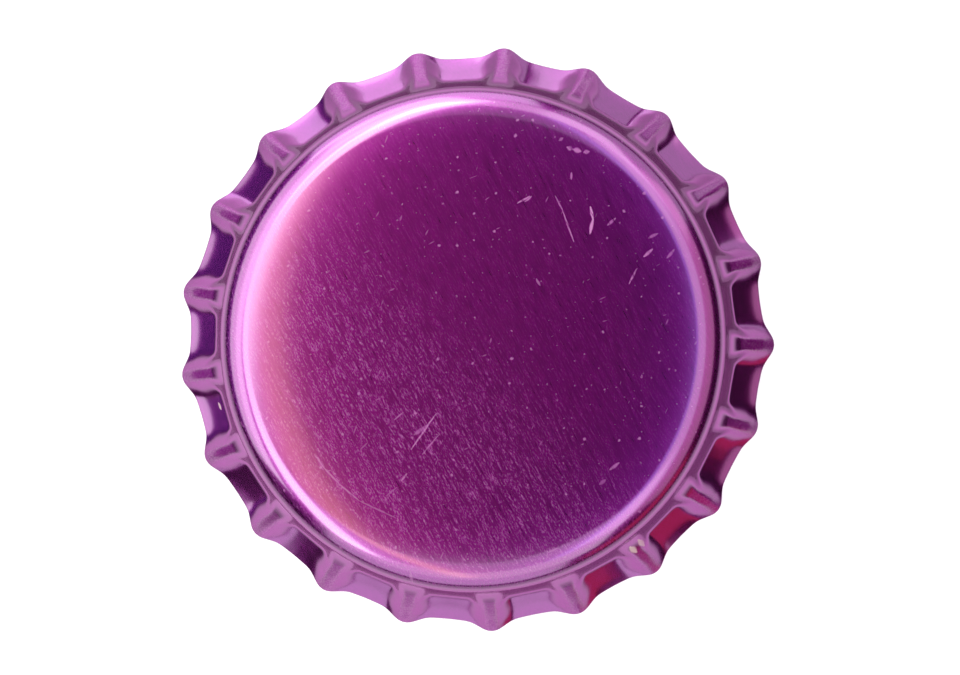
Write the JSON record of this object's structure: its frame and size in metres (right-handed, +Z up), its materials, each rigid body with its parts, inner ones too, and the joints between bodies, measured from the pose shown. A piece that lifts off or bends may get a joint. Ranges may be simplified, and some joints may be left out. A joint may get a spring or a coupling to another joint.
{
  "type": "crown bottle cap",
  "caption": "Crown bottle cap: a shallow fluted cup of purple lacquered tinplate with a flat top, a rounded shoulder and a soft sealing liner inside.",
  "frame": {"origin": "on the cap's axis, in the plane of the rim it stands on", "axes": "+Z up from the rim to the top panel, +X through the middle of a ridge"},
  "size_m": [0.0322, 0.0318, 0.006],
  "materials": {
    "lacquered_tinplate": "gloss purple lacquer over tinplate, scuffed on the ridges",
    "liner_plastic": "soft satin"
  },
  "bodies": {
    "root": {"crown_shell": "lacquered_tinplate", "sealing_liner": "liner_plastic"}
  },
  "joints": []
}
